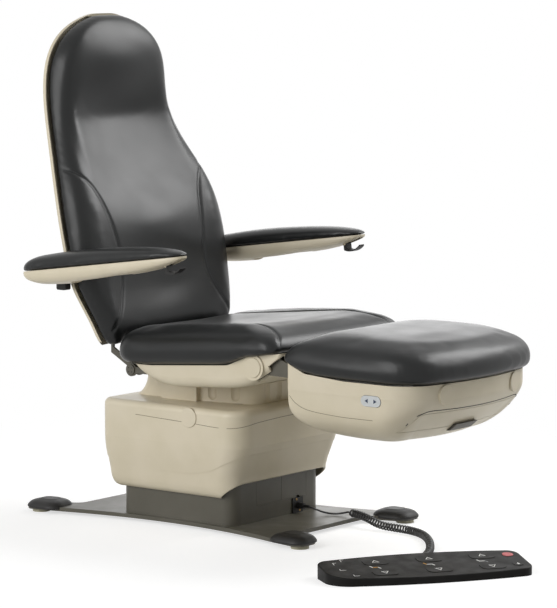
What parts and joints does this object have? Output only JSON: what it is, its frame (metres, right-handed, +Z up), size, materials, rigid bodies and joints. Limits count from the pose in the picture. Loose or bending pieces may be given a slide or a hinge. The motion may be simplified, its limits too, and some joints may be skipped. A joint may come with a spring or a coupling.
{
  "type": "podiatry chair",
  "caption": "Powered podiatry chair on a telescoping pedestal, with tilting seat, reclining back, swinging armrests, extending leg section with debris tray, and a corded foot control.",
  "frame": {"origin": "on the floor, midway between the four levelling glides; the base plate's flat underside lies just above it", "axes": "+Z up, the chair faces -Y, +X is the patient's left"},
  "size_m": [0.9647, 1.5252, 1.302],
  "materials": {
    "beige_moulding": "warm beige moulded housing with a fine satin grain",
    "black_upholstery": "soft black upholstery over foam",
    "black_moulding": "black moulded plastic",
    "olive_paint": "dark olive grey powder coat",
    "bare_steel": "zinc plated steel",
    "slide_plastic": "natural slide plastic",
    "pad_rubber": "pale rubber feet",
    "cord_sheath": "black cord sheath",
    "red_key": "red stop key",
    "grey_switch": "light grey rocker",
    "brown_pull": "dark brown grip"
  },
  "bodies": {
    "base": {"base_plate": "olive_paint", "base_caps": "black_moulding", "levelling_glides": "pad_rubber", "pedestal_shell": "olive_paint", "pedestal_access_panels": "olive_paint", "pedestal_guide_pads": "slide_plastic", "lift_actuator_housing": "bare_steel", "control_box": "black_moulding", "pedal_socket": "black_moulding", "foot_control_housing": "black_moulding", "foot_control_gland": "cord_sheath", "pedal_cord_plug": "cord_sheath", "pedal_cord_lead": "cord_sheath", "pedal_cord_curl": "cord_sheath"},
    "lift_stage": {"middle_sleeve": "bare_steel", "middle_guide_pads": "slide_plastic", "lift_actuator_tube": "bare_steel"},
    "carriage": {"inner_sleeve": "bare_steel", "lift_actuator_rod": "bare_steel", "carriage_plate": "olive_paint", "shroud": "beige_moulding", "shroud_caps": "beige_moulding", "neck_cover": "beige_moulding", "tilt_yoke": "olive_paint", "tilt_actuator": "bare_steel"},
    "seat": {"seat_frame": "olive_paint", "tilt_pin": "bare_steel", "seat_cushion": "black_upholstery", "seat_pan": "beige_moulding", "seat_pan_caps": "beige_moulding", "back_actuator": "bare_steel", "leg_actuator": "bare_steel"},
    "backrest": {"back_frame": "olive_paint", "back_shell": "beige_moulding", "back_cushion": "black_upholstery", "arm_pivots": "black_moulding"},
    "arm_right": {"arm_body_right": "beige_moulding", "arm_cushion_right": "black_upholstery"},
    "arm_left": {"arm_body_left": "beige_moulding", "arm_cushion_left": "black_upholstery"},
    "lever_right": {"arm_lever_right": "black_moulding"},
    "lever_left": {"arm_lever_left": "black_moulding"},
    "leg_frame": {"leg_bracket": "olive_paint"},
    "leg_section": {"leg_cushion": "black_upholstery", "leg_shell": "beige_moulding", "leg_caps": "beige_moulding", "leg_runners": "slide_plastic"},
    "switch_right": {"leg_switch_right": "grey_switch"},
    "switch_left": {"leg_switch_left": "grey_switch"},
    "tray": {"debris_tray": "beige_moulding", "tray_pull": "brown_pull"},
    "key_raise": {"foot_button_raise": "black_moulding"},
    "key_lower": {"foot_button_lower": "black_moulding"},
    "key_back_up": {"foot_button_back_up": "black_moulding"},
    "key_back_down": {"foot_button_back_down": "black_moulding"},
    "key_leg_up": {"foot_button_leg_up": "black_moulding"},
    "key_leg_down": {"foot_button_leg_down": "black_moulding"},
    "key_stop": {"foot_button_stop": "red_key"},
    "key_home": {"foot_button_home": "black_moulding"}
  },
  "joints": [
    {"name": "lift", "type": "slide", "parent": "base", "child": "carriage", "axis": [0, 0, 1], "range_m": [0, 0.33]},
    {"name": "lift_stage_slide", "type": "slide", "parent": "base", "child": "lift_stage", "axis": [0, 0, 1], "range_m": [0, 0.165]},
    {"name": "seat_tilt", "type": "hinge", "parent": "carriage", "child": "seat", "pos_m": [0, 0.07, 0.398], "axis": [-1, 0, 0], "range_deg": [0, 12]},
    {"name": "back_recline", "type": "hinge", "parent": "seat", "child": "backrest", "pos_m": [0, 0.112, 0.401], "axis": [-1, 0, 0], "range_deg": [0, 48]},
    {"name": "leg_lift", "type": "hinge", "parent": "seat", "child": "leg_frame", "pos_m": [0, -0.309, 0.444], "axis": [1, 0, 0], "range_deg": [0, 30]},
    {"name": "leg_extension", "type": "slide", "parent": "leg_frame", "child": "leg_section", "axis": [0, -1, 0], "range_m": [0, 0.15]},
    {"name": "tray_slide", "type": "slide", "parent": "leg_section", "child": "tray", "axis": [0, -1, 0], "range_m": [0, 0.2]},
    {"name": "arm_swing_right", "type": "hinge", "parent": "backrest", "child": "arm_right", "pos_m": [-0.372, 0.262, 0.638], "axis": [-1, 0, 0], "range_deg": [-62, 85]},
    {"name": "arm_swing_left", "type": "hinge", "parent": "backrest", "child": "arm_left", "pos_m": [0.372, 0.262, 0.638], "axis": [-1, 0, 0], "range_deg": [-62, 85]},
    {"name": "lever_right", "type": "hinge", "parent": "arm_right", "child": "lever_right", "pos_m": [-0.372, -0.13211, 0.69361], "axis": [-1, 0, 0], "range_deg": [0, 12], "stiffness_Nm_per_rad": 0.3},
    {"name": "switch_right", "type": "hinge", "parent": "leg_section", "child": "switch_right", "pos_m": [-0.262, -0.674, 0.393], "axis": [0, 0, 1], "range_deg": [-4, 4], "stiffness_Nm_per_rad": 0.4},
    {"name": "lever_left", "type": "hinge", "parent": "arm_left", "child": "lever_left", "pos_m": [0.372, -0.13211, 0.69361], "axis": [-1, 0, 0], "range_deg": [0, 12], "stiffness_Nm_per_rad": 0.3},
    {"name": "switch_left", "type": "hinge", "parent": "leg_section", "child": "switch_left", "pos_m": [0.262, -0.674, 0.393], "axis": [0, 0, 1], "range_deg": [-4, 4], "stiffness_Nm_per_rad": 0.4},
    {"name": "press_raise", "type": "slide", "parent": "base", "child": "key_raise", "axis": [0.0766, 0.1082, -0.9912], "range_m": [0, 0.0025], "stiffness_N_per_m": 900},
    {"name": "press_lower", "type": "slide", "parent": "base", "child": "key_lower", "axis": [0.0766, 0.1082, -0.9912], "range_m": [0, 0.0025], "stiffness_N_per_m": 900},
    {"name": "press_back_up", "type": "slide", "parent": "base", "child": "key_back_up", "axis": [0.0766, 0.1082, -0.9912], "range_m": [0, 0.0025], "stiffness_N_per_m": 900},
    {"name": "press_back_down", "type": "slide", "parent": "base", "child": "key_back_down", "axis": [0.0766, 0.1082, -0.9912], "range_m": [0, 0.0025], "stiffness_N_per_m": 900},
    {"name": "press_leg_up", "type": "slide", "parent": "base", "child": "key_leg_up", "axis": [0.0766, 0.1082, -0.9912], "range_m": [0, 0.0025], "stiffness_N_per_m": 900},
    {"name": "press_leg_down", "type": "slide", "parent": "base", "child": "key_leg_down", "axis": [0.0766, 0.1082, -0.9912], "range_m": [0, 0.0025], "stiffness_N_per_m": 900},
    {"name": "press_stop", "type": "slide", "parent": "base", "child": "key_stop", "axis": [0.0766, 0.1082, -0.9912], "range_m": [0, 0.0025], "stiffness_N_per_m": 900},
    {"name": "press_home", "type": "slide", "parent": "base", "child": "key_home", "axis": [0.0766, 0.1082, -0.9912], "range_m": [0, 0.0025], "stiffness_N_per_m": 900}
  ],
  "couplings": [
    {"joint": "lift_stage_slide", "follows": "lift", "ratio": 0.5}
  ]
}
